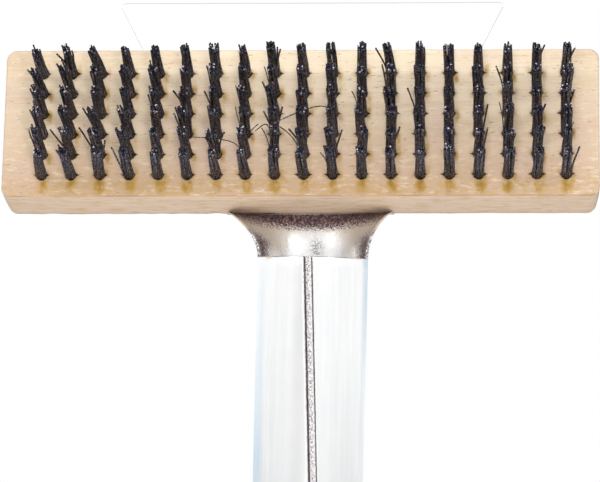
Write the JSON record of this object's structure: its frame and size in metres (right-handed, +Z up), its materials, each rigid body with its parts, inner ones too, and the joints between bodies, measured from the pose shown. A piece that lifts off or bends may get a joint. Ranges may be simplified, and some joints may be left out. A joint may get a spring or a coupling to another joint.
{
  "type": "pool wall brush",
  "caption": "Wire brush head for a pole: a wooden block of coarse steel wire tufts on a formed sheet-steel bracket with a scraper edge, a pole socket and a wing-screw lock.",
  "frame": {"origin": "middle of the pole socket's mouth, which is the object's lowest plane", "axes": "+Z up the socket's axis towards the brush block, -Y the side the bristles face, +X along the block towards the wing screw's side; the block leans back 12 degrees from the socket and is turned 1.2 degrees to the left about it"},
  "size_m": [0.1848, 0.0627, 0.1981],
  "materials": {
    "block_wood": "matte",
    "tuft_wire": "satin",
    "bracket_steel": "polished",
    "screw_steel": "satin",
    "anchor_steel": "satin",
    "lock_steel": "satin",
    "pad_brass": "satin"
  },
  "bodies": {
    "head": {"handle_bracket": "bracket_steel", "brush_block": "block_wood", "bracket_screws": "screw_steel", "tuft_anchors": "anchor_steel", "lock_nut": "lock_steel", "tufts_column_01": "tuft_wire", "tufts_column_02": "tuft_wire", "tufts_column_03": "tuft_wire", "tufts_column_04": "tuft_wire", "tufts_column_05": "tuft_wire", "tufts_column_06": "tuft_wire", "tufts_column_07": "tuft_wire", "tufts_column_08": "tuft_wire", "tufts_column_09": "tuft_wire", "tufts_column_10": "tuft_wire", "tufts_column_11": "tuft_wire", "tufts_column_12": "tuft_wire", "tufts_column_13": "tuft_wire", "tufts_column_14": "tuft_wire", "tufts_column_15": "tuft_wire", "tufts_column_16": "tuft_wire", "tufts_column_17": "tuft_wire", "tufts_column_18": "tuft_wire", "tufts_column_19": "tuft_wire"},
    "pad": {"lock_pad": "pad_brass"},
    "wing_screw": {"lock_screw": "lock_steel"}
  },
  "joints": [
    {"name": "pad_slide", "type": "slide", "parent": "head", "child": "pad", "axis": [-1, 0, 0], "range_m": [0, 0.00254]},
    {"name": "screw_turn", "type": "hinge", "parent": "pad", "child": "wing_screw", "pos_m": [0.03, 0, 0.022], "axis": [-1, 0, 0], "range_deg": [0, 720]}
  ],
  "couplings": [
    {"joint": "screw_turn", "follows": "pad_slide", "rad_per_m": 4947.4}
  ]
}
